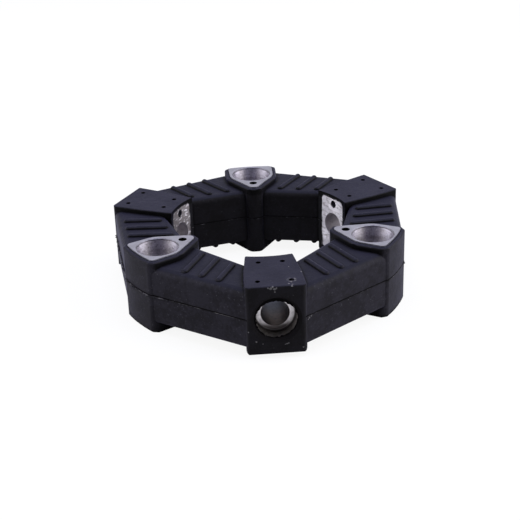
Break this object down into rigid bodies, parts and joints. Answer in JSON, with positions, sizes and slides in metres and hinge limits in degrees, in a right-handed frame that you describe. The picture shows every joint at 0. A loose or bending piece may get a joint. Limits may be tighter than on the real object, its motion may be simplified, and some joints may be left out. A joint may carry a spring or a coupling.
{
  "type": "flexible rubber coupling element",
  "caption": "Moulded rubber ring with bonded aluminium inserts that joins a flange, bolted axially, to a hub, bolted radially.",
  "frame": {"origin": "on the coupling axis, in the plane of the axial inserts' back faces", "axes": "+Z along the coupling axis towards the front faces of the axial inserts; -Y along the bolt axis of radial insert 1"},
  "size_m": [0.1242, 0.1269, 0.0311],
  "materials": {
    "rubber": "moulded, matte with dull highlights",
    "aluminium": "dull cast and machined"
  },
  "bodies": {
    "root": {"rubber_body": "rubber", "axial_insert_1": "aluminium", "axial_insert_2": "aluminium", "axial_insert_3": "aluminium", "radial_insert_1": "aluminium", "radial_insert_2": "aluminium", "radial_insert_3": "aluminium"}
  },
  "joints": []
}
